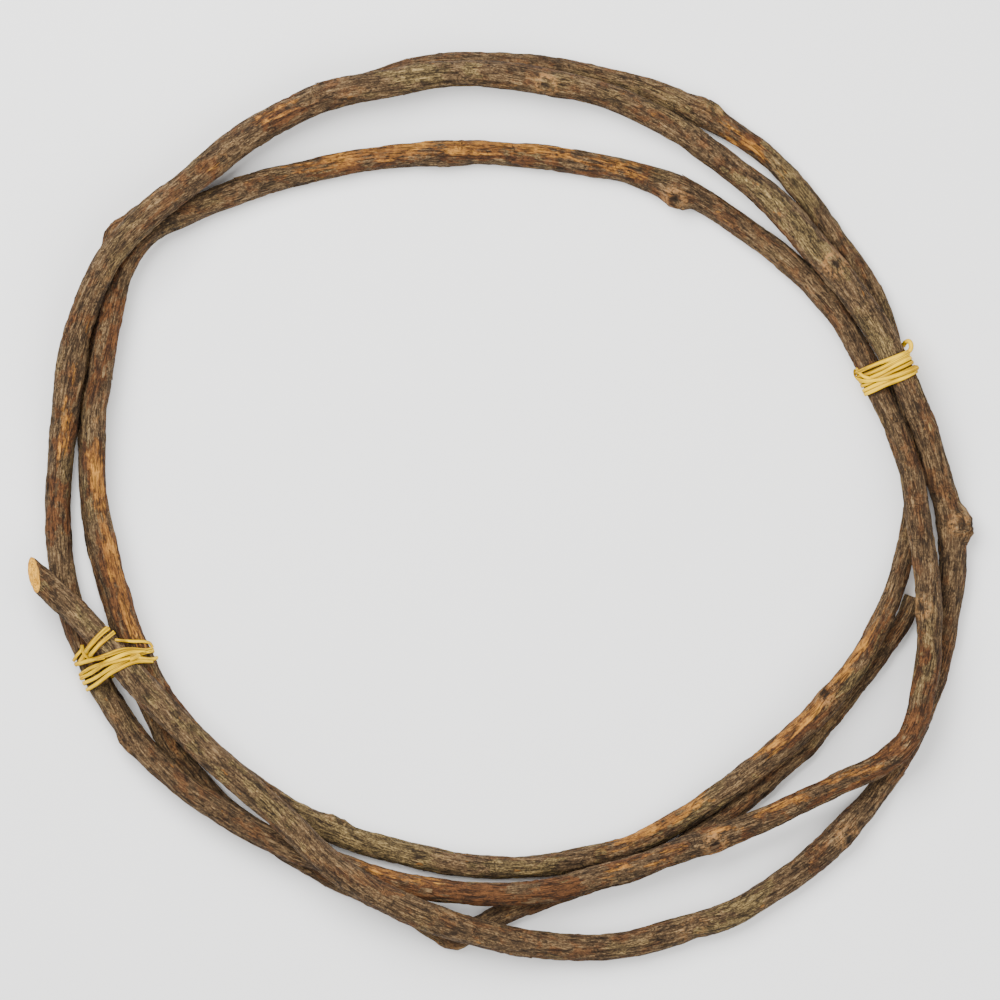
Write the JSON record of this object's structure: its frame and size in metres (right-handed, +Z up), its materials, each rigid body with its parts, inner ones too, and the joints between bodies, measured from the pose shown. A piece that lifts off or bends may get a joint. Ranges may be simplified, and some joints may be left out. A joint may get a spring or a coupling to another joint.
{
  "type": "vine coil",
  "caption": "Flat open coil of a long woody vine with brown fissured bark and a slanted cut end, bound with raffia ties.",
  "frame": {"origin": "on the surface that the coil lies on, below the middle of the coil's box", "axes": "+Z up through the coil's open middle, +Y towards the top of the pictured view, +X to its right"},
  "size_m": [0.6051, 0.5836, 0.0526],
  "materials": {
    "bark": "dry, matt, fissured bark",
    "raffia": "dry, slightly glossy plant fibre"
  },
  "bodies": {
    "root": {"vine": "bark", "raffia_tie_left": "raffia", "raffia_tie_right": "raffia"}
  },
  "joints": []
}
